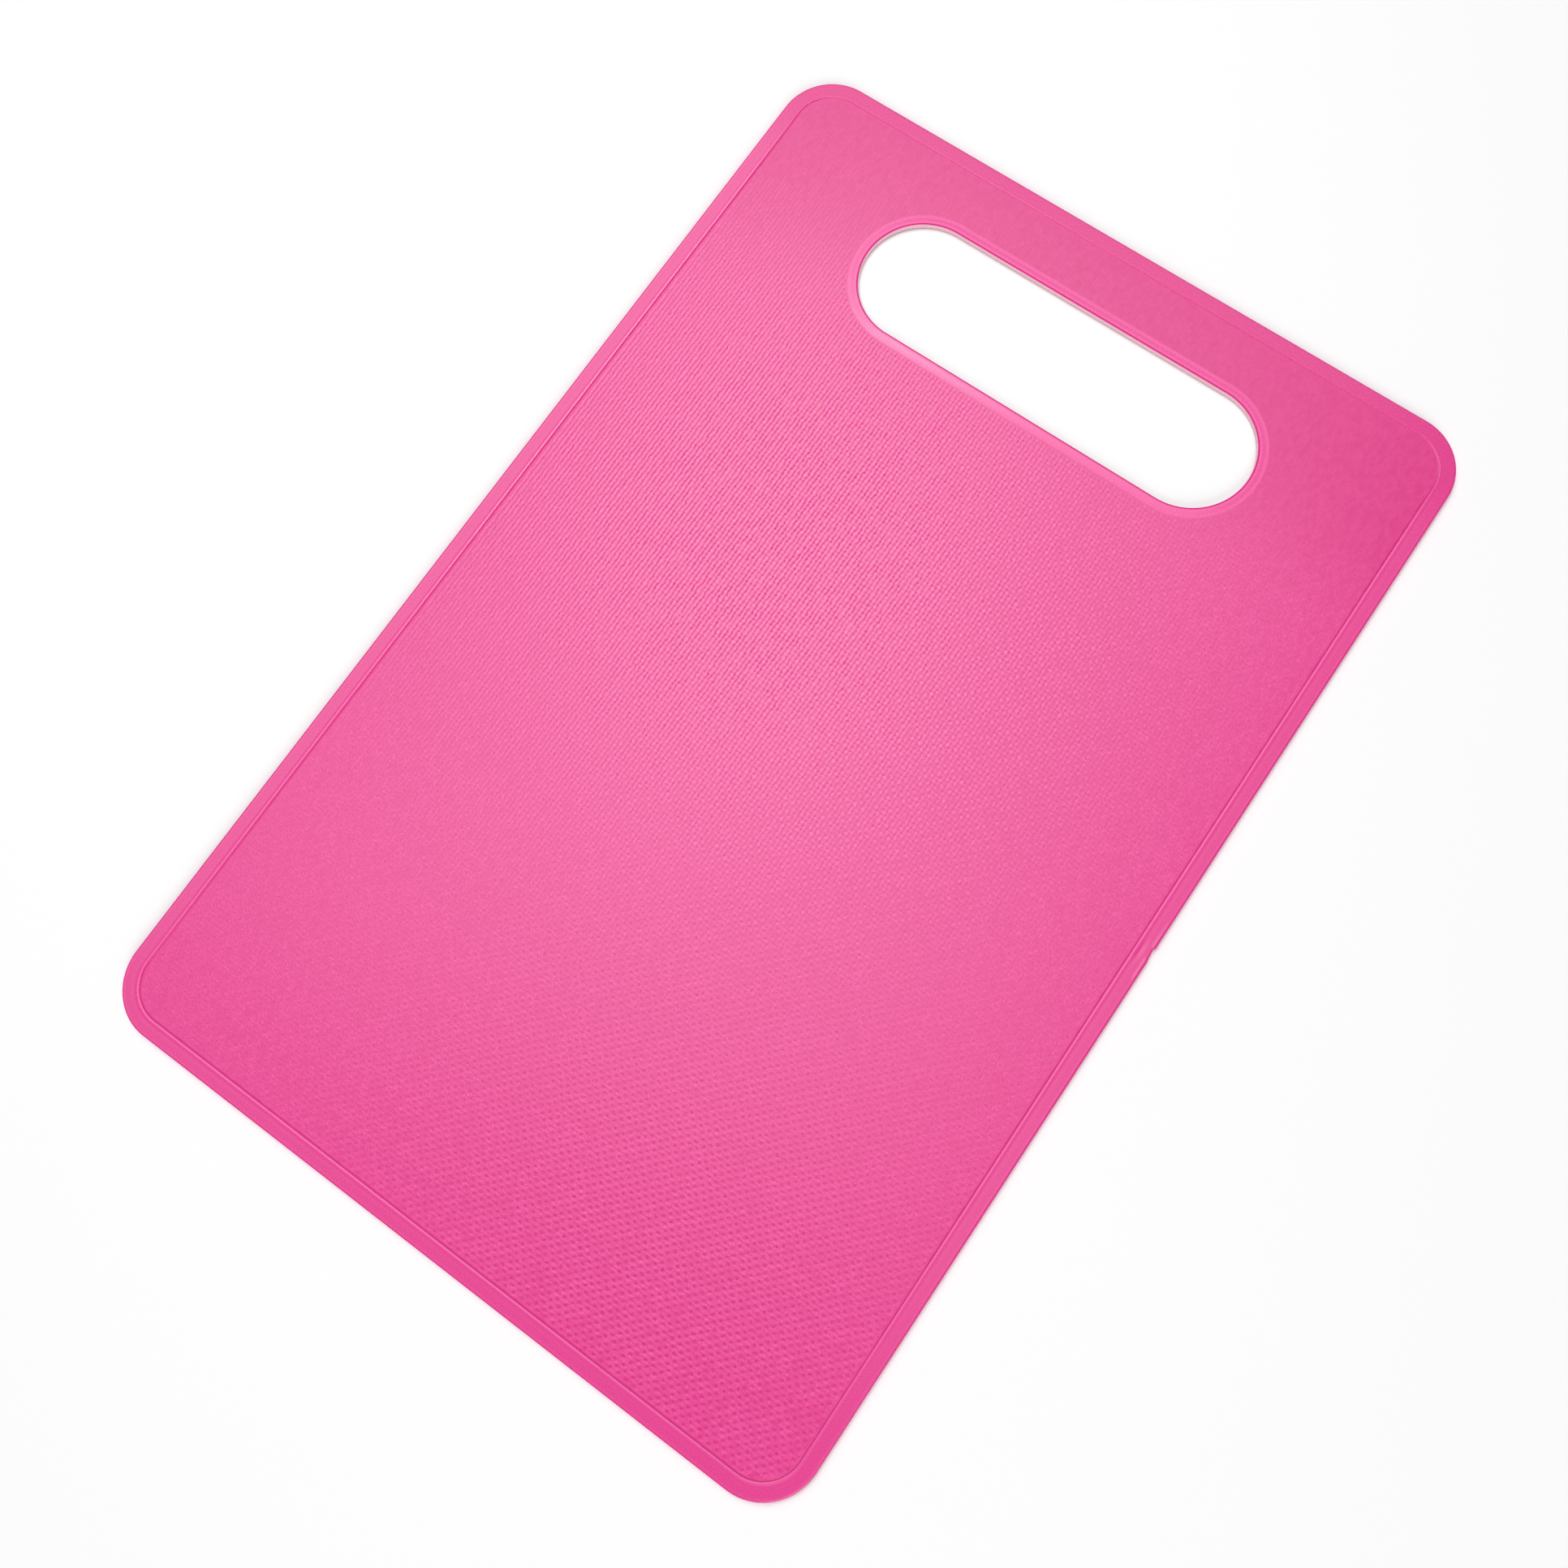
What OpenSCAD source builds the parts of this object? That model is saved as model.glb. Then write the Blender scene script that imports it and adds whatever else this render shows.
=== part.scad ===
// Flexible cutting mat with a handle slot.
// An embossed sheet is held all round by a smooth moulded border, and a second smooth moulding
// lines the handle slot. Both mouldings grip a thinner tongue along the sheet's edges.
// The mat lies flat, +Z up. Its width runs along X and its length along Y, with the handle
// slot at the +Y end. The origin is under the centre of the outline. Both faces are alike.

/* [Mat outline] */
// Overall width of the mat
mat_w = 200; // [150:5:280]
// Overall length of the mat
mat_l = 300; // [220:5:420]
// Radius of the four outer corners
corner_r = 14.5; // [10:0.5:30]

/* [Sheet] */
// Thickness of the sheet over its cutting field
sheet_t = 1.5; // [1.1:0.1:2.0]
// Step down from each face of the sheet to the tongue along its edges
shoulder_h = 0.3; // [0.2:0.05:0.4]

/* [Border] */
// Width of the smooth border, from the mat's edge to the woven field
rim_w = 4.5; // [4:0.5:8]
// Height of the border above the sheet, on each face
rim_rise = 0.25; // [0.2:0.05:0.6]
// How far the sheet's tongue reaches into the border
rim_tongue_l = 2.5; // [1.5:0.1:3.0]
// Rounding along the mat's outer edge
rim_edge_r = 0.6; // [0.3:0.1:0.6]
// Rounding along the step from the border down to the field
rim_lip_r = 0.2; // [0.05:0.05:0.2]

/* [Handle slot] */
// Length of the open slot, across the mat
slot_l = 114; // [90:1:125]
// Width of the open slot, and the diameter of its round ends
slot_w = 33; // [25:1:40]
// Distance from the mat's edge to the open slot
slot_margin = 21; // [16:1:40]
// Width of the smooth moulding round the slot
slot_rim_w = 2.8; // [2.2:0.1:5]
// Height of the slot moulding above the sheet, on each face
slot_rim_rise = 0.1; // [0.1:0.05:0.3]
// How far the sheet's tongue reaches into the slot moulding
slot_tongue_l = 1.3; // [0.8:0.1:1.4]
// Rounding along the slot's open edge
slot_edge_r = 0.5; // [0.3:0.1:0.6]
// Rounding along the step from the slot moulding down to the field
slot_lip_r = 0.1; // [0.05:0.05:0.1]

/* [Gate mark] */
// Length of the trimmed gate mark on the middle of one long edge
gate_l = 5; // [3:0.5:8]
// Depth of the gate mark
gate_depth = 0.4; // [0.2:0.1:0.6]

/* [Hidden] */
// Segments of a full turn on the outline's arcs and on the small roundings
outline_fn = 128;
rounding_fn = 32;
// Extra length of a cutting body past the face it cuts
over_cut = 1;
// Overall thickness, and the level of the sheet's middle plane
rim_t = sheet_t + 2 * rim_rise;
middle_z = rim_t / 2;
// Thickness of the tongue along the sheet's edges
tongue_t = sheet_t - 2 * shoulder_h;
// Thickness of the moulding round the slot
slot_rim_t = sheet_t + 2 * slot_rim_rise;
// Centre of the slot along the mat's length
slot_y = mat_l / 2 - slot_margin - slot_w / 2;
// Radius of the cutting cylinder whose shallow bite leaves the gate mark
gate_r = (gate_l * gate_l / 4 + gate_depth * gate_depth) / (2 * gate_depth);
// Moulded colours
sheet_pink = "#EE5FA2";
rim_pink = "#F0649F";

// Rectangle w by l with corners of radius r, centred on the origin
module round_rect(w, l, r) {
    square([w - 2 * r, l], center = true);
    square([w, l - 2 * r], center = true);
    for (sx = [-1, 1]) {
        for (sy = [-1, 1]) {
            translate([sx * (w / 2 - r), sy * (l / 2 - r)]) circle(r = r, $fn = outline_fn);
        }
    }
}

// The mat's outline, drawn in by a distance inset
module mat_outline(inset) {
    round_rect(mat_w - 2 * inset, mat_l - 2 * inset, corner_r - inset);
}

// The slot's outline, grown by a distance outset, as a bar with full round ends
module slot_outline(outset) {
    r = slot_w / 2 + outset;
    half = (slot_l - slot_w) / 2;
    translate([0, slot_y]) {
        square([2 * half, 2 * r], center = true);
        for (side = [-1, 1]) {
            translate([side * half, 0]) circle(r = r, $fn = outline_fn);
        }
    }
}

// Section of an edge moulding w wide and t thick, about the sheet's middle plane. Its free edge
// is at x = 0 and is rounded by free_r. The side against the field is at x = w, is rounded by
// lip_r, and has a groove as deep as the tongue is long.
module rim_section(w, t, free_r, lip_r, tongue_l) {
    difference() {
        union() {
            translate([0, -t / 2 + free_r]) square([w, t - 2 * free_r]);
            translate([free_r, -t / 2]) square([w - free_r - lip_r, t]);
            translate([free_r, -t / 2 + lip_r]) square([w - free_r, t - 2 * lip_r]);
            for (side = [-1, 1]) {
                translate([free_r, side * (t / 2 - free_r)]) circle(r = free_r, $fn = rounding_fn);
                translate([w - lip_r, side * (t / 2 - lip_r)]) circle(r = lip_r, $fn = rounding_fn);
            }
        }
        translate([w - tongue_l, -tongue_t / 2]) square([tongue_l + over_cut, tongue_t]);
    }
}

// A straight run of a section along +Y, centred, with the section's x along +X
module straight_run(run_l) {
    translate([0, run_l / 2, 0]) rotate([90, 0, 0]) linear_extrude(height = run_l) children();
}

// The border: each quarter turn of the loop adds one straight side and the corner after it
module border_ring() {
    for (turn = [0, 90, 180, 270]) {
        swapped = turn % 180 != 0;
        // Half sizes of the outline as they lie after this turn
        reach = (swapped ? mat_l : mat_w) / 2;
        span = (swapped ? mat_w : mat_l) / 2;
        rotate([0, 0, turn]) {
            translate([reach, 0, 0]) mirror([1, 0, 0]) straight_run(2 * (span - corner_r)) border_section();
            translate([reach - corner_r, span - corner_r, 0]) rotate_extrude(angle = 90, $fn = outline_fn)
                translate([corner_r, 0]) mirror([1, 0]) border_section();
        }
    }
}

module border_section() {
    rim_section(rim_w, rim_t, rim_edge_r, rim_lip_r, rim_tongue_l);
}

module slot_section() {
    rim_section(slot_rim_w, slot_rim_t, slot_edge_r, slot_lip_r, slot_tongue_l);
}

// Embossed sheet: its full thickness over the field, and a thinner tongue along every edge
module cutting_panel() {
    color(sheet_pink) translate([0, 0, middle_z]) {
        linear_extrude(height = sheet_t, center = true) difference() {
            mat_outline(rim_w);
            slot_outline(slot_rim_w);
        }
        linear_extrude(height = tongue_t, center = true) difference() {
            mat_outline(rim_w - rim_tongue_l);
            slot_outline(slot_rim_w - slot_tongue_l);
        }
    }
}

// Smooth border, with the shallow gate mark trimmed out of the middle of the +X edge
module edge_rim() {
    color(rim_pink) difference() {
        translate([0, 0, middle_z]) border_ring();
        translate([mat_w / 2 + gate_r - gate_depth, 0, -over_cut])
            cylinder(r = gate_r, h = rim_t + 2 * over_cut, $fn = outline_fn);
    }
}

// Smooth moulding round the handle slot: two straight sides and two half turns
module handle_rim() {
    half = (slot_l - slot_w) / 2;
    color(rim_pink) translate([0, slot_y, middle_z]) {
        for (turn = [90, 270]) {
            rotate([0, 0, turn]) translate([slot_w / 2, 0, 0]) straight_run(2 * half) slot_section();
        }
        for (turn = [-90, 90]) {
            translate([(turn < 0 ? 1 : -1) * half, 0, 0]) rotate([0, 0, turn])
                rotate_extrude(angle = 180, $fn = outline_fn) translate([slot_w / 2, 0]) slot_section();
        }
    }
}

cutting_panel();
edge_rim();
handle_rim();
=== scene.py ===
"""Flexible cutting mat with a handle slot: a sheet embossed with a plain weave, held all round by a smooth
moulded border, with a second smooth moulding round the slot. Lengths are in metres and worked out from
millimetres; the mat lies on the floor with its length along Y and the slot at the +Y end."""
import math

import bpy
import numpy as np
from mathutils import Matrix, Vector


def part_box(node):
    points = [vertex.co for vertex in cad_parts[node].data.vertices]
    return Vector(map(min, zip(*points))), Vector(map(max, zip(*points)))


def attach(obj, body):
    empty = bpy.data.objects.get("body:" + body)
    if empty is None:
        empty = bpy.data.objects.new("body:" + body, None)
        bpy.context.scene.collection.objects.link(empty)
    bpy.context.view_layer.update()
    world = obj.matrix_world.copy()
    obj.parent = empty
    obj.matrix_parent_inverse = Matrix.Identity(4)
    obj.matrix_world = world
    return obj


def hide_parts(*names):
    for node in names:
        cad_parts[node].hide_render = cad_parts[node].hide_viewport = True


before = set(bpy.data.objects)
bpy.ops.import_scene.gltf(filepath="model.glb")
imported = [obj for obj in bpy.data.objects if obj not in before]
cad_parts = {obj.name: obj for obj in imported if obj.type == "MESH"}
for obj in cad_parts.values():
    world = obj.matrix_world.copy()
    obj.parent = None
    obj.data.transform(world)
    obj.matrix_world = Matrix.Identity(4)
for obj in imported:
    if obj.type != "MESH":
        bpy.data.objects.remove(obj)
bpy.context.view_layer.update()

MM = 0.001

# Sizes read from the frame
border_low, border_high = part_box("edge_rim")
slot_low, slot_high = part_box("handle_rim")
sheet_low, sheet_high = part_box("cutting_panel")
half_w = (border_high.x - border_low.x) / 2
half_l = (border_high.y - border_low.y) / 2
full_t = border_high.z - border_low.z
middle_z = (border_high.z + border_low.z) / 2
sheet_t = sheet_high.z - sheet_low.z
slot_y = (slot_high.y + slot_low.y) / 2

# Sizes shared with the CAD source, apart from the rounding of the slot's open edge, which is 0.05 mm less
corner_r = 14.5 * MM
rim_w = 4.5 * MM
rim_tongue_l = 2.5 * MM
rim_edge_r = 0.6 * MM
shoulder_h = 0.3 * MM
tongue_t = sheet_t - 2 * shoulder_h
slot_rim_w = 2.8 * MM
slot_tongue_l = 1.3 * MM
slot_edge_r = 0.45 * MM
slot_half_w = (slot_high.y - slot_low.y) / 2 - slot_rim_w
slot_half_l = (slot_high.x - slot_low.x) / 2 - slot_rim_w

# Fine forms of the mouldings, smaller than the CAD solids carry
bead_h = 0.05 * MM
bead_at = 3.90 * MM
bead_spread = 0.32 * MM
dish_depth = 0.01 * MM
dish_at = 3.15 * MM
dish_spread = 0.45 * MM
groove_depth = 0.05 * MM
rim_fall_l = 0.22 * MM
worn_fall_l = 0.45 * MM
worn_crispness = 0.1
worn_tone = -0.3
worn_from_y = half_l - 32 * MM
worn_over_l = 24 * MM
slot_rise = 0.09 * MM
slot_slope_h = 0.075 * MM
slot_crest_at = 1.0 * MM
slot_fall_l = 0.8 * MM
shoulder_l = 0.3 * MM
parting_half_h = 0.09 * MM
parting_depth = 0.03 * MM
gate_bite_depth = 0.42 * MM
gate_lip_h = 0.07 * MM
gate_dimple_depth = 0.10 * MM
field_top = middle_z + sheet_t / 2

# Spacing of the points along a moulding's section, their stops along the straight sides, the least gap from
# a stop to a corner, and the steps across the field
section_step = 0.06 * MM
plain_stops = np.arange(-130, 131, 8) * MM
gate_stops = np.r_[np.arange(-14, 14.01, 0.2), np.arange(-130, -14, 8), np.arange(20, 131, 8)] * MM
sheet_stops = np.arange(-145, 146, 5) * MM
corner_gap = 0.2 * MM
field_steps = 15

# Pitch of the emboss: of the lengthwise threads, across the mat, and of the cross threads, along it
thread_pitch = 1.14 * MM
cross_pitch = 1.17 * MM
# Where the lengthwise threads, the cross threads and the low spots are pressed deepest, the distances from
# there at which they start and stop fading, and the part that is left beyond
ridge_press = ((-37 * MM, 40 * MM, middle_z), 10 * MM, 140 * MM, 0.03)
cross_press = ((0, 30 * MM, middle_z), 20 * MM, 110 * MM, 0.1)
spot_press = ((50 * MM, -135 * MM, middle_z), 5 * MM, 130 * MM, 0.12)
# Height of the emboss, the mean height of a row of ridges, the size and width of the threads' bends, and the
# sizes of the slubs and fibres
emboss_h = 0.05 * MM
ridge_mean = 0.64
wander_l = 1.8 * MM
wander_w = 0.7 * thread_pitch
slub_l = 1.2 * MM
fibre_l = 0.45 * MM
# Distances from the mouldings, in millimetres, at which the emboss starts and is full
emboss_start = 0.25
emboss_full = 0.55
# The stretch beside the slot over which the emboss gets shallow, and the part that is left
calm_from_y = 85 * MM
calm_to_y = 125 * MM
calm_share = 0.3
# Size and height of the mould's grain, and sizes of the slow swell and of the clouds in the colour
grain_l = 0.5 * MM
grain_h = 0.0022 * MM
swell_l = 6 * MM
cloud_l = 30 * MM

# Pinks, the pale grey-pink painted reflection on the slot's wall, and the gloss of the plastic with its swing
deep_pink = "#D40076"
pale_pink = "#F857A6"
painted_reflection_pink = "#E9C1C7"
plain_gloss = 0.63
gloss_swing = 0.3


def linear(hex_colour):
    """Linear colour with alpha from an sRGB hex string."""
    channels = [int(hex_colour[i : i + 2], 16) / 255 for i in (1, 3, 5)]
    return (*[c / 12.92 if c <= 0.04045 else ((c + 0.055) / 1.055) ** 2.4 for c in channels], 1.0)


def arc(centre_d, centre_z, radius, start_deg, end_deg, steps):
    """Points (distance, height) on an arc: the centre plus the radius times the angle's cosine and sine."""
    angle = np.radians(np.linspace(start_deg, end_deg, steps + 1))
    return np.c_[centre_d + radius * np.cos(angle), centre_z + radius * np.sin(angle)]


def smooth(value):
    """Smooth step from zero to one: three times the square less twice the cube, held outside."""
    t = np.clip(value, 0, 1)
    return t * t * (3 - 2 * t)


def bell(value, centre, spread):
    """Bell curve of height one."""
    return np.exp(-(((value - centre) / spread) ** 2))


def crispness(y):
    """How crisp the border's bead and groove are at a place along the mat: 1, and falling smoothly to a
    small part over the last stretch before the side beside the slot, where the mould is worn."""
    return 1 - (1 - worn_crispness) * smooth((y - worn_from_y) / worn_over_l)


def border_top(distance, crisp=1.0):
    """Height of the border's top at a distance from the mat's edge: flat, plus a bell-shaped bead near its
    inner side, less a bell-shaped dish beside the bead, and falling smoothly to the bottom of the groove.
    Where the mould is worn there is no bead, and the fall is longer and ends level with the field."""
    flat = middle_z + full_t / 2 - bead_h
    bead = bead_h * bell(distance, bead_at, bead_spread) - dish_depth * bell(distance, dish_at, dish_spread)
    shape = flat + crisp * bead
    fall_l = worn_fall_l + crisp * (rim_fall_l - worn_fall_l)
    fall = smooth((distance - rim_w + fall_l) / fall_l)
    return shape + (field_top - crisp * groove_depth - shape) * fall


def border_tone(distance):
    """Tone of the border's pink at a distance from the mat's edge, 0 as moulded, -1 deepest and 1 palest:
    painted shade on the edge and in the groove against the field, and a painted highlight beside the edge
    and on the bead."""
    # Painted shade on the edge and in the groove, painted highlight beside the edge and on the bead
    on_edge = 1 - smooth((distance - 0.25 * MM) / (0.3 * MM))
    beside = bell(distance, 0.8 * MM, 0.2 * MM)
    on_bead = bell(distance, bead_at, 0.34 * MM)
    in_groove = smooth((distance - 4.4 * MM) / (0.1 * MM))
    return 0.3 * beside - 0.5 * on_edge + 0.5 * on_bead - 0.3 * in_groove


def slot_moulding_top(distance):
    """Height of the slot moulding's top at a distance from the open slot: level to a crest near the open
    edge, then sloping down in a straight line, and falling smoothly to the level of the field's threads."""
    slope_l = slot_rim_w - slot_fall_l - slot_crest_at
    slope = slot_slope_h * np.clip((distance - slot_crest_at) / slope_l, 0, 1)
    fall = smooth((distance - slot_rim_w + slot_fall_l) / slot_fall_l)
    return field_top + (slot_rise - slope) * (1 - fall)


def slot_moulding_tone(distance):
    """Tone of the slot moulding's pink at a distance from the open slot: pale on top and palest on the crest,
    as painted highlights, deepest on the rounding as painted shade, and, at 2, the painted pale reflection
    down the slot's wall."""
    # Painted highlight on the top and crest, painted shade on the rounding, painted reflection on the wall
    on_crest = bell(distance, slot_crest_at, 0.25 * MM)
    on_rounding = bell(distance, 0.37 * MM, 0.2 * MM)
    top = 0.45 + 0.2 * on_crest - 1.2 * on_rounding
    wall = 1 - smooth((distance - 0.1 * MM) / (0.08 * MM))
    return top * (1 - wall) + 2.0 * wall


def slot_moulding_shine(distance):
    """Shine of the slot moulding at a distance from the open slot, 0 as moulded: slightly glossy on top and
    dull on the rounding."""
    return 0.1 - 2.2 * bell(distance, 0.35 * MM, 0.2 * MM)


def moulding_section(width, top, free_r, tongue_l):
    """Closed section of a moulding as (distance from its free edge, height): from the groove that grips the
    sheet up its inner side, over the top as a function of the distance, round the free edge with a fine
    parting line in its middle, and back by the same way mirrored in the middle plane."""
    grip_z = middle_z + tongue_t / 2
    groove = [[width - tongue_l, grip_z], [width - tongue_l / 2, grip_z], [width, grip_z]]
    over_d = np.linspace(width, free_r, int((width - free_r) / section_step) + 2)
    over = np.c_[over_d, top(over_d)]
    free = arc(free_r, top(free_r) - free_r, free_r, 90, 180, 10)[1:]
    skin = np.vstack([over, free, [[0, middle_z + parting_half_h]]])
    skin[:, 0] += parting_depth * np.clip(1 - skin[:, 0] / free_r, 0, 1)
    upper = np.vstack([groove, skin])
    lower = upper[::-1] * [1, -1] + [0, 2 * middle_z]
    return np.vstack([upper, [[0, middle_z]], lower])


def mat_path(arc_steps, side_stops):
    """Path round the mat's outline, anticlockwise, as points and outward normals: on each corner its centre
    plus the corner radius times the unit vector at the turn's angle, and stops along each side."""
    turn = np.linspace(0, math.pi / 2, arc_steps + 1)
    points = []
    normals = []
    for quarter in range(4):
        swapped = quarter % 2 == 1
        reach = half_l if swapped else half_w
        span = (half_w if swapped else half_l) - corner_r
        stops = side_stops(quarter)
        stops = stops[np.abs(stops) < span - corner_gap]
        run = np.c_[np.full(len(stops), reach), stops]
        bend = [reach - corner_r, span] + corner_r * np.c_[np.cos(turn), np.sin(turn)]
        here = np.vstack([run, bend])
        out = np.vstack([np.tile([1.0, 0.0], (len(stops), 1)), np.c_[np.cos(turn), np.sin(turn)]])
        c, s = [(1, 0), (0, 1), (-1, 0), (0, -1)][quarter]
        spin = np.array([[c, s], [-s, c]])
        points.append(here @ spin)
        normals.append(out @ spin)
    return np.vstack(points), np.vstack(normals)


def slot_path(arc_steps, side_steps):
    """Path round the open slot, anticlockwise, as points and normals out of the slot: half turns about the
    two end centres, joined by straight runs."""
    turn = np.linspace(-math.pi / 2, math.pi / 2, arc_steps + 1)
    run = np.linspace(1, -1, side_steps + 1)[1:-1]
    end_x = slot_half_l - slot_half_w
    out = np.c_[np.cos(turn), np.sin(turn)]
    bend = [end_x, 0] + slot_half_w * out
    straight = np.c_[run * end_x, np.full(len(run), slot_half_w)]
    half_points = np.vstack([bend, straight])
    half_normals = np.vstack([out, np.tile([0.0, 1.0], (len(run), 1))])
    points = np.vstack([half_points, -half_points]) + [0, slot_y]
    return points, np.vstack([half_normals, -half_normals])


def carried(points, normals, section, side):
    """Grid of a section carried along a path: each path point moved along its normal by side times the
    section's distance, at the section's height."""
    flat = points[:, None, :] + side * normals[:, None, :] * section[None, :, :1]
    height = np.broadcast_to(section[:, 1], flat.shape[:2])
    return np.dstack([flat, height])


def piece_from_grid(name, grid, material, **layers):
    """Closed mesh of a grid of points that wraps round in both directions, with four-sided faces. Each
    layer is a number for every point, kept as an attribute."""
    rows, cols = grid.shape[:2]
    r = np.arange(rows)[:, None]
    c = np.arange(cols)[None, :]
    next_r = (r + 1) % rows
    next_c = (c + 1) % cols
    corners = [r * cols + c, r * cols + next_c, next_r * cols + next_c, next_r * cols + c]
    faces = np.stack(np.broadcast_arrays(*corners), axis=-1).reshape(-1, 4)
    mesh = bpy.data.meshes.new(name)
    mesh.from_pydata(grid.reshape(-1, 3).tolist(), [], faces.tolist())
    mesh.shade_smooth()
    mesh.set_sharp_from_angle(angle=math.radians(50))
    for key, values in layers.items():
        layer = mesh.attributes.new(key, "FLOAT", "POINT")
        layer.data.foreach_set("value", np.broadcast_to(values, (rows, cols)).ravel().astype(np.float32))
    mesh.materials.append(material)
    made = bpy.data.objects.new(name, mesh)
    bpy.context.scene.collection.objects.link(made)
    return made


def gate_mark(grid, section):
    """Trimmed gate on the middle of the +X edge: a bite in the edge that starts abruptly and runs out
    slowly, a low flash lip along the edge on both sides of it, and a dimple in the top beside it."""
    y = grid[..., 1]
    on_side = np.clip((grid[..., 0] - (half_w - rim_w - 1 * MM)) / MM, 0, 1) * (np.abs(y) < 20 * MM)
    distance = np.broadcast_to(section[:, 0], y.shape)
    upper = np.clip((np.broadcast_to(section[:, 1], y.shape) - middle_z) / (0.5 * MM), 0, 1)
    start = np.clip((1.9 * MM - y) / (0.3 * MM), 0, 1)
    run_out = np.clip((y + 1.8 * MM) / (3.7 * MM), 0, 1)
    bite = gate_bite_depth * start * run_out**0.8
    near_edge = np.clip(1 - (distance - 0.5 * MM) / (0.9 * MM), 0, 1)
    above = np.clip((y - 1.9 * MM) / (0.3 * MM), 0, 1) * np.clip((9.5 * MM - y) / (6 * MM), 0, 1)
    below = np.clip((-0.6 * MM - y) / (1.0 * MM), 0, 1) * np.clip((y + 7.0 * MM) / (0.5 * MM), 0, 1)
    lip = gate_lip_h * (above + below) * bell(distance, 0.75 * MM, 0.35 * MM)
    sink = bell(distance, 2.9 * MM, 0.6 * MM) * bell(y, -0.2 * MM, 2.2 * MM)
    grid[..., 0] -= on_side * bite * near_edge
    grid[..., 2] += on_side * upper * (lip - gate_dimple_depth * sink)
    return grid


def sheet_grid():
    """Grid of the sheet between the slot and the border. Rays from the slot's centre tie each outline point
    to one on the slot, and along a ray the section steps out from the slot's edge, crosses the field in a
    straight line and steps in to the mat's edge. Also gives each point's distance from the mouldings in
    millimetres, and its tone, which holds painted shade in the groove beside the border."""
    mat_points, mat_normals = mat_path(20, lambda quarter: sheet_stops)
    hole_points, hole_normals = slot_path(40, 20)
    centre = np.array([0, slot_y])

    def by_angle(points, values, angle):
        own = np.arctan2(*(points - centre).T[::-1])
        order = np.argsort(own)
        own, values = own[order], values[order]
        own = np.r_[own[-1] - 2 * np.pi, own, own[0] + 2 * np.pi]
        values = np.vstack([values[-1:], values, values[:1]])
        return np.c_[np.interp(angle, own, values[:, 0]), np.interp(angle, own, values[:, 1])]

    both = np.vstack([mat_points, hole_points]) - centre
    angle = np.unique(np.round(np.arctan2(both[:, 1], both[:, 0]), 5))
    outer = by_angle(mat_points, mat_points, angle)
    outer_n = by_angle(mat_points, mat_normals, angle)
    inner = by_angle(hole_points, hole_points, angle)
    inner_n = by_angle(hole_points, hole_normals, angle)
    tongue_z = middle_z + tongue_t / 2
    # Rows of half a section as distance past the moulding's inner side and height
    steps = np.array([0, 0.06, 0.12, 0.18, 0.24, 0.3, 0.36, 0.45, 0.6, 0.8, 1.1, 1.5, 2.0]) * MM
    rows = np.r_[0, steps]
    level = np.r_[tongue_z, tongue_z, np.full(len(steps), field_top)]
    groove = np.r_[1 - smooth(steps[::-1] / shoulder_l), 0, 0]

    def half(sign):
        slot_side = [inner + inner_n * (slot_rim_w - slot_tongue_l)]
        slot_side += [inner + inner_n * (slot_rim_w + d) for d in rows]
        mat_side = [outer - outer_n * (rim_w + d) for d in rows[::-1]]
        mat_side += [outer - outer_n * (rim_w - rim_tongue_l)]
        share = np.linspace(0, 1, field_steps + 1)[1:-1]
        across = [slot_side[-1] * (1 - t) + mat_side[0] * t for t in share]
        flat = np.stack(slot_side + across + mat_side, axis=1)
        sunk = np.r_[np.zeros(len(level) + len(share)), groove] * crispness(flat[..., 1])
        height = np.r_[level, np.full(len(share), field_top), level[::-1]] - groove_depth * sunk
        margin = np.r_[0, rows, np.full(len(share), 2 * MM), rows[::-1], 0] / MM
        # The tone is painted shade, deeper in the groove beside the border
        return np.dstack([flat, middle_z + sign * (height - middle_z)]), margin, -0.3 * sunk

    over, margin, tone = half(1)
    under = half(-1)[0]
    both = np.concatenate([over, under[:, ::-1]], axis=1)
    return both, np.r_[margin, margin[::-1]], np.concatenate([tone, tone[:, ::-1]], axis=1)


def node(tree, kind, inputs=None, **settings):
    """Adds a node: settings are its own options, inputs are values or other nodes' sockets."""
    made = tree.nodes.new(kind)
    for key, value in settings.items():
        setattr(made, key, value)
    for key, value in (inputs or {}).items():
        if isinstance(value, bpy.types.NodeSocket):
            tree.links.new(value, made.inputs[key])
        else:
            made.inputs[key].default_value = value
    return made


def new_material(name):
    """Empty node material."""
    made = bpy.data.materials.new(name)
    made.use_nodes = True
    made.node_tree.nodes.clear()
    return made


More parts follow.
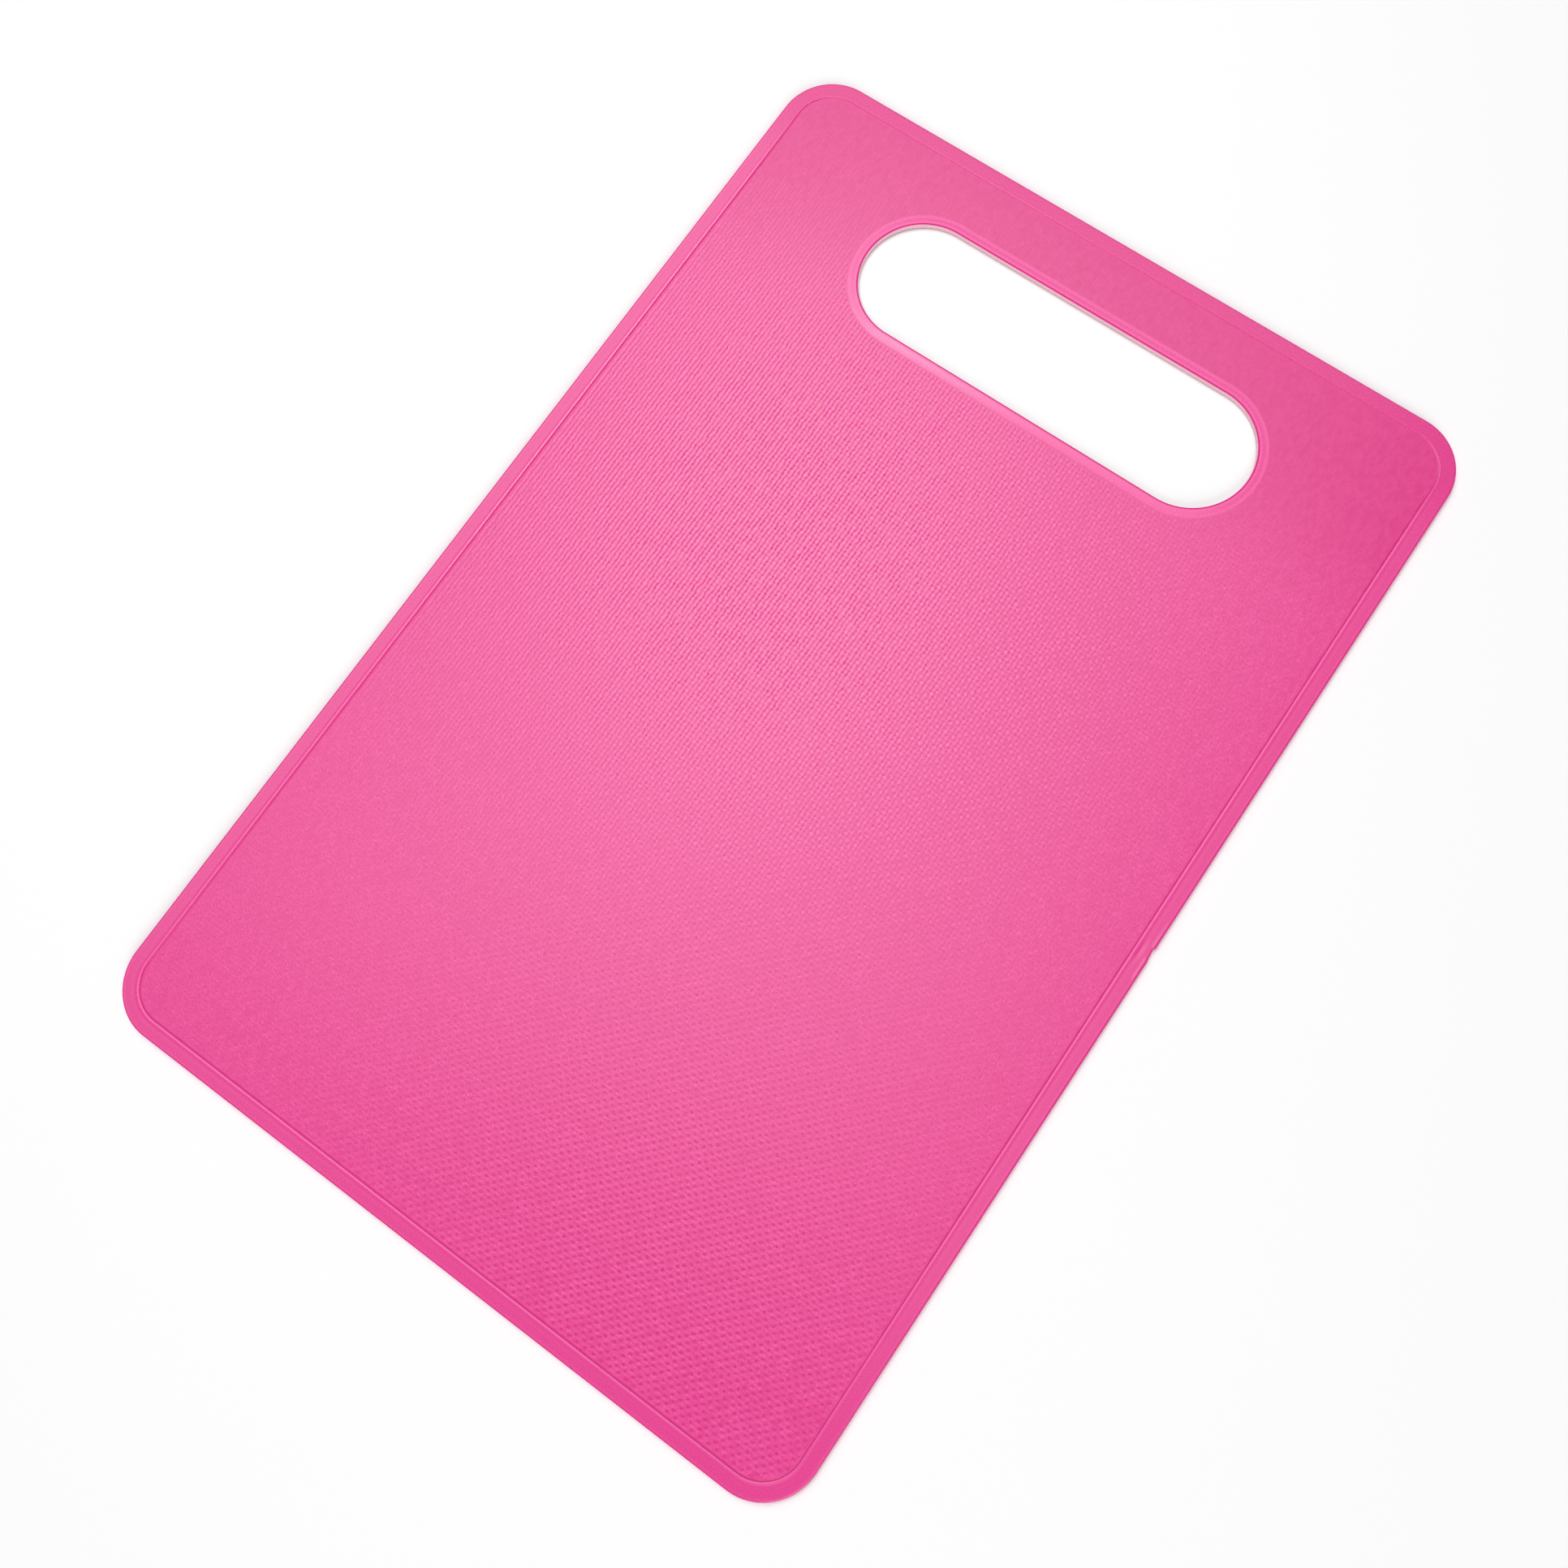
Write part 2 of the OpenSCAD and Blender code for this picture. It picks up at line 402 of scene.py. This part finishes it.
def embossed_polypropylene():
    """Polypropylene sheet pressed with a plain weave between embossing rolls: satin, with a ridge for each
    lengthwise thread, lower cross threads and a low spot at every other crossing. Its pink is painted paler
    over the thread tops as a painted highlight and deeper in the valleys as painted shade."""
    material = new_material("embossed_polypropylene")
    tree = material.node_tree
    place = node(tree, "ShaderNodeTexCoord").outputs["Object"]
    # Threads wander by a small part of the pitch
    wander = node(tree, "ShaderNodeTexNoise", {"Vector": place, "Scale": 1 / wander_l, "Detail": 2.0})
    wander = wander.outputs["Color"]
    evenly = {0: wander, 1: (0.5, 0.5, 0.5)}
    shift = node(tree, "ShaderNodeVectorMath", evenly, operation="SUBTRACT").outputs[0]
    shift = node(tree, "ShaderNodeVectorMath", {0: shift, "Scale": wander_w}, operation="SCALE").outputs[0]
    moved = node(tree, "ShaderNodeVectorMath", {0: place, 1: shift}, operation="ADD")
    turns = (math.pi / thread_pitch, math.pi / cross_pitch, 0)
    turned = node(tree, "ShaderNodeVectorMath", {0: moved.outputs[0], 1: turns}, operation="MULTIPLY")
    axes = node(tree, "ShaderNodeSeparateXYZ", {0: turned.outputs[0]})
    across = node(tree, "ShaderNodeMath", {0: axes.outputs["X"]}, operation="COSINE").outputs[0]
    along = node(tree, "ShaderNodeMath", {0: axes.outputs["Y"]}, operation="COSINE").outputs[0]
    # A ridge for each lengthwise thread and a lower one for each cross thread, passing over and under in turn
    ridge = node(tree, "ShaderNodeMath", {0: across}, operation="ABSOLUTE").outputs[0]
    ridge = node(tree, "ShaderNodeMath", {0: ridge, 1: ridge_mean}, operation="SUBTRACT").outputs[0]
    cross = node(tree, "ShaderNodeMath", {0: along}, operation="ABSOLUTE").outputs[0]
    cross = node(tree, "ShaderNodeMath", {0: cross, 1: ridge_mean}, operation="SUBTRACT").outputs[0]
    swing = node(tree, "ShaderNodeMath", {0: across, 1: along}, operation="MULTIPLY").outputs[0]
    cross = node(tree, "ShaderNodeMath", {0: cross, 1: 2.4, 2: swing}, operation="MULTIPLY_ADD").outputs[0]
    # Slubs: thread height varies along the thread
    slub_place = node(tree, "ShaderNodeMapping", {"Vector": place, "Scale": (1.0, 0.6, 1.0)}).outputs[0]
    slub = node(tree, "ShaderNodeTexNoise", {"Vector": slub_place, "Scale": 1 / slub_l, "Detail": 2.0})
    slub = slub.outputs["Fac"]
    slubs = node(tree, "ShaderNodeMapRange", {0: slub, 1: 0.35, 2: 0.65, 3: 0.65, 4: 1.35}).outputs[0]
    # A low spot between the threads at every other crossing, with the high spots between them cut off
    hollow = node(tree, "ShaderNodeMath", {0: axes.outputs["X"]}, operation="SINE").outputs[0]
    spot = node(tree, "ShaderNodeMath", {0: axes.outputs["Y"]}, operation="SINE").outputs[0]
    spot = node(tree, "ShaderNodeMath", {0: hollow, 1: spot}, operation="MULTIPLY").outputs[0]
    spot = node(tree, "ShaderNodeMath", {0: spot, 1: 0.2}, operation="MINIMUM").outputs[0]
    spot = node(tree, "ShaderNodeMath", {0: cross, 1: 0.25, 2: spot}, operation="MULTIPLY_ADD").outputs[0]
    # Fine fibres
    fibre = node(tree, "ShaderNodeTexNoise", {"Vector": place, "Scale": 1 / fibre_l, "Detail": 1.0})
    fibre = fibre.outputs["Fac"]
    weave = node(tree, "ShaderNodeMath", {0: fibre, 1: 0.8, 2: -0.4}, operation="MULTIPLY_ADD").outputs[0]
    # Each is pressed deepest in one place and fades from there
    near = {"interpolation_type": "SMOOTHSTEP"}
    for form, share, (centre, start, stop, rest) in (
        (ridge, 0.9, ridge_press),
        (cross, 0.13, cross_press),
        (spot, 0.36, spot_press),
    ):
        far = node(tree, "ShaderNodeVectorMath", {0: place, 1: centre}, operation="DISTANCE").outputs["Value"]
        fade = {0: far, 1: start, 2: stop, 3: share, 4: share * rest}
        depth = node(tree, "ShaderNodeMapRange", fade, **near).outputs[0]
        added = {0: form, 1: depth, 2: weave}
        weave = node(tree, "ShaderNodeMath", added, operation="MULTIPLY_ADD").outputs[0]
    # The emboss stops short of the smooth mouldings, and is shallow on the strip beyond the slot
    margin = node(tree, "ShaderNodeAttribute", attribute_name="margin").outputs["Fac"]
    inside = node(tree, "ShaderNodeMapRange", {0: margin, 1: emboss_start, 2: emboss_full}, **near).outputs[0]
    length = node(tree, "ShaderNodeSeparateXYZ", {0: place}).outputs["Y"]
    calming = {0: length, 1: calm_from_y, 2: calm_to_y, 3: 1.0, 4: calm_share}
    calm = node(tree, "ShaderNodeMapRange", calming, **near).outputs[0]
    depth = node(tree, "ShaderNodeMath", {0: inside, 1: slubs}, operation="MULTIPLY").outputs[0]
    depth = node(tree, "ShaderNodeMath", {0: depth, 1: calm}, operation="MULTIPLY").outputs[0]
    height = node(tree, "ShaderNodeMath", {0: weave, 1: depth}, operation="MULTIPLY").outputs[0]
    bump = node(tree, "ShaderNodeBump", {"Height": height, "Strength": 1.0, "Distance": emboss_h}).outputs[0]
    # Painted highlight on the thread tops, which are also glossier, painted shade in the duller valleys and
    # in the groove beside the border, and a deeper pink where the emboss is shallow
    groove = node(tree, "ShaderNodeAttribute", attribute_name="tone").outputs["Fac"]
    tone = node(tree, "ShaderNodeMath", {0: groove, 1: 0.5, 2: -0.05}, operation="MULTIPLY_ADD").outputs[0]
    tone = node(tree, "ShaderNodeMath", {0: height, 1: 0.7, 2: tone}, operation="MULTIPLY_ADD").outputs[0]
    tone = node(tree, "ShaderNodeMath", {0: slub, 1: 0.5, 2: tone}, operation="MULTIPLY_ADD").outputs[0]
    tone = node(tree, "ShaderNodeMath", {0: calm, 1: 0.3, 2: tone}, operation="MULTIPLY_ADD").outputs[0]
    pinks = {"Factor": tone, "A": linear(deep_pink), "B": linear(pale_pink)}
    tint = node(tree, "ShaderNodeMix", pinks, data_type="RGBA")
    glosses = {0: height, 1: gloss_swing, 2: plain_gloss}
    gloss = node(tree, "ShaderNodeMath", glosses, operation="MULTIPLY_ADD").outputs[0]
    rough = node(tree, "ShaderNodeMapRange", {0: slub, 1: 0.3, 2: 0.7, 3: 0.30, 4: 0.34}).outputs[0]
    shader = node(tree, "ShaderNodeBsdfPrincipled", {
        "Base Color": tint.outputs["Result"],
        "Roughness": rough,
        "IOR": 1.5,
        "Specular IOR Level": gloss,
        "Normal": bump,
    })
    node(tree, "ShaderNodeOutputMaterial", {"Surface": shader.outputs[0]})
    return material


def moulded_polypropylene():
    """Injection-moulded polypropylene from a fine-ground mould: smoother and glossier than the sheet,
    paler or deeper where the tone attribute paints highlights and shade, and glossier or duller by the shine
    attribute."""
    material = new_material("moulded_polypropylene")
    tree = material.node_tree
    place = node(tree, "ShaderNodeTexCoord").outputs["Object"]
    # Fine grain on a slow swell, and faint clouds in the colour
    grain = node(tree, "ShaderNodeTexNoise", {"Vector": place, "Scale": 1 / grain_l, "Detail": 3.0})
    grain = grain.outputs["Fac"]
    swell = node(tree, "ShaderNodeTexNoise", {"Vector": place, "Scale": 1 / swell_l, "Detail": 2.0})
    swell = swell.outputs["Fac"]
    relief = node(tree, "ShaderNodeMath", {0: swell, 1: 4.0, 2: grain}, operation="MULTIPLY_ADD").outputs[0]
    bump = node(tree, "ShaderNodeBump", {"Height": relief, "Strength": 1.0, "Distance": grain_h}).outputs[0]
    cloud = node(tree, "ShaderNodeTexNoise", {"Vector": place, "Scale": 1 / cloud_l, "Detail": 2.0})
    cloud = cloud.outputs["Fac"]
    cloud = node(tree, "ShaderNodeMapRange", {0: cloud, 3: 0.48, 4: 0.52}).outputs[0]
    # The tone attribute holds painted highlights and painted shade, and the frosted-looking painted
    # reflection on the slot's wall
    tone_with_painted_light = node(tree, "ShaderNodeAttribute", attribute_name="tone").outputs["Fac"]
    tone = node(tree, "ShaderNodeMath", {0: tone_with_painted_light, 1: 0.5, 2: cloud}, operation="MULTIPLY_ADD").outputs[0]
    pinks = {"Factor": tone, "A": linear(deep_pink), "B": linear(pale_pink)}
    tint = node(tree, "ShaderNodeMix", pinks, data_type="RGBA")
    # Painted reflection of the white floor, pale grey-pink, where the tone passes 1
    painted_reflection = node(tree, "ShaderNodeMath", {0: tone_with_painted_light, 1: 1.0}, operation="SUBTRACT").outputs[0]
    colours = {"Factor": painted_reflection, "A": tint.outputs["Result"], "B": linear(painted_reflection_pink)}
    tint = node(tree, "ShaderNodeMix", colours, data_type="RGBA")
    shine = node(tree, "ShaderNodeAttribute", attribute_name="shine").outputs["Fac"]
    glosses = {0: shine, 1: gloss_swing, 2: plain_gloss}
    gloss = node(tree, "ShaderNodeMath", glosses, operation="MULTIPLY_ADD").outputs[0]
    rough = node(tree, "ShaderNodeMapRange", {0: grain, 1: 0.3, 2: 0.7, 3: 0.26, 4: 0.29}).outputs[0]
    shader = node(tree, "ShaderNodeBsdfPrincipled", {
        "Base Color": tint.outputs["Result"],
        "Roughness": rough,
        "IOR": 1.5,
        "Specular IOR Level": gloss,
        "Normal": bump,
    })
    node(tree, "ShaderNodeOutputMaterial", {"Surface": shader.outputs[0]})
    return material


# Sheet, border and slot moulding
sheet_material = embossed_polypropylene()
rim_material = moulded_polypropylene()

sheet, sheet_margin, sheet_groove_shade = sheet_grid()
woven_sheet = piece_from_grid("woven_sheet", sheet, sheet_material, margin=sheet_margin, tone=sheet_groove_shade)
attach(woven_sheet, "root")
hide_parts("cutting_panel")

# The border's section is crisp, and blends to a worn one where the mould is worn
border_section = moulding_section(rim_w, border_top, rim_edge_r, rim_tongue_l)
border_path = mat_path(40, lambda quarter: np.sort(gate_stops if quarter == 0 else plain_stops))
worn_section = moulding_section(rim_w, lambda distance: border_top(distance, 0.0), rim_edge_r, rim_tongue_l)
crisp_grid = carried(*border_path, border_section, -1)
worn_grid = carried(*border_path, worn_section, -1)
crisp = crispness(crisp_grid[..., 1])
border_grid = gate_mark(worn_grid + (crisp_grid - worn_grid) * crisp[..., None], border_section)
# The painted highlight on the bead and the painted shade in the groove fade with them, and the pink is
# slightly deeper there
edge_tone = border_tone(border_section[:, 0]) * crisp + worn_tone * (1 - crisp)
edge_moulding = piece_from_grid("edge_moulding", border_grid, rim_material, tone=edge_tone, shine=edge_tone)
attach(edge_moulding, "root")
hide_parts("edge_rim")

slot_section = moulding_section(slot_rim_w, slot_moulding_top, slot_edge_r, slot_tongue_l)[::-1]
slot_moulding_grid = carried(*slot_path(64, 20), slot_section, 1)
slot_tone = slot_moulding_tone(slot_section[:, 0])
slot_shine = slot_moulding_shine(slot_section[:, 0])
slot_layers = {"tone": slot_tone, "shine": slot_shine}
slot_moulding = piece_from_grid("slot_moulding", slot_moulding_grid, rim_material, **slot_layers)
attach(slot_moulding, "root")
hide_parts("handle_rim")


def placed(position, forward, up):
    """Matrix of a camera or lamp that looks along forward with its top towards up."""
    back = -Vector(forward).normalized()
    right = Vector(up).cross(back).normalized()
    matrix = Matrix((right, back.cross(right), back)).transposed().to_4x4()
    matrix.translation = position
    return matrix


def lamp(name, position, target, up, width, length, power):
    """Rectangular soft lamp."""
    light = bpy.data.lights.new(name, "AREA")
    light.shape = "RECTANGLE"
    light.size = width
    light.size_y = length
    light.energy = power
    made = bpy.data.objects.new(name, light)
    made.matrix_world = placed(Vector(position), Vector(target) - Vector(position), up)
    bpy.context.scene.collection.objects.link(made)


# Camera at the photograph's viewing angle
camera_data = bpy.data.cameras.new("photo_camera")
camera_data.sensor_width = 36
camera_data.lens = 29.754
camera_data.shift_x = -0.0549
camera_data.shift_y = -0.0125
camera = bpy.data.objects.new("photo_camera", camera_data)
camera_position = Vector((63.70, -39.64, 307.85)) * MM
camera_forward = (-0.13951, 0.12949, -0.98172)
camera_up = (-0.55101, 0.81359, 0.18561)
camera.matrix_world = placed(camera_position, camera_forward, camera_up)
bpy.context.scene.collection.objects.link(camera)
bpy.context.scene.camera = camera

# Soft lamps: a wide one at the upper left, a strip beside its middle and a fill from the lower right
mat_centre = (0, 0, 0)
box_up = (-0.17, 0.98, 0)
upright = (0, 0, 1)
lamp("soft_box", (-0.277, 0.185, 1.0), mat_centre, box_up, width=1.01, length=1.27, power=8.35)
lamp("strip_lamp", (-0.331, 0.263, 1.0), mat_centre, box_up, width=0.08, length=0.51, power=1.6)
lamp("fill_lamp", (0.95, -0.95, 0.8), mat_centre, upright, width=0.8, length=0.8, power=11.0)

# Plain surroundings
world = bpy.data.worlds.new("studio")
world.use_nodes = True
world.node_tree.nodes.clear()
bpy.context.scene.world = world
sky = node(world.node_tree, "ShaderNodeBackground", {"Color": (1, 1, 1, 1), "Strength": 0.18}).outputs[0]
node(world.node_tree, "ShaderNodeOutputWorld", {"Surface": sky})

# White floor, lit by the same lamps
floor_material = new_material("matt_white_floor")
floor_tree = floor_material.node_tree
floor_coat = node(floor_tree, "ShaderNodeBsdfDiffuse", {"Color": linear("#FCFCFC")})
node(floor_tree, "ShaderNodeOutputMaterial", {"Surface": floor_coat.outputs[0]})
floor_mesh = bpy.data.meshes.new("floor")
far = 20
floor_corners = [(-far, -far, 0), (far, -far, 0), (far, far, 0), (-far, far, 0)]
floor_mesh.from_pydata(floor_corners, [], [(0, 1, 2, 3)])
floor_mesh.materials.append(floor_material)
floor = bpy.data.objects.new("floor", floor_mesh)
bpy.context.scene.collection.objects.link(floor)

bpy.context.scene.view_settings.view_transform = "Standard"
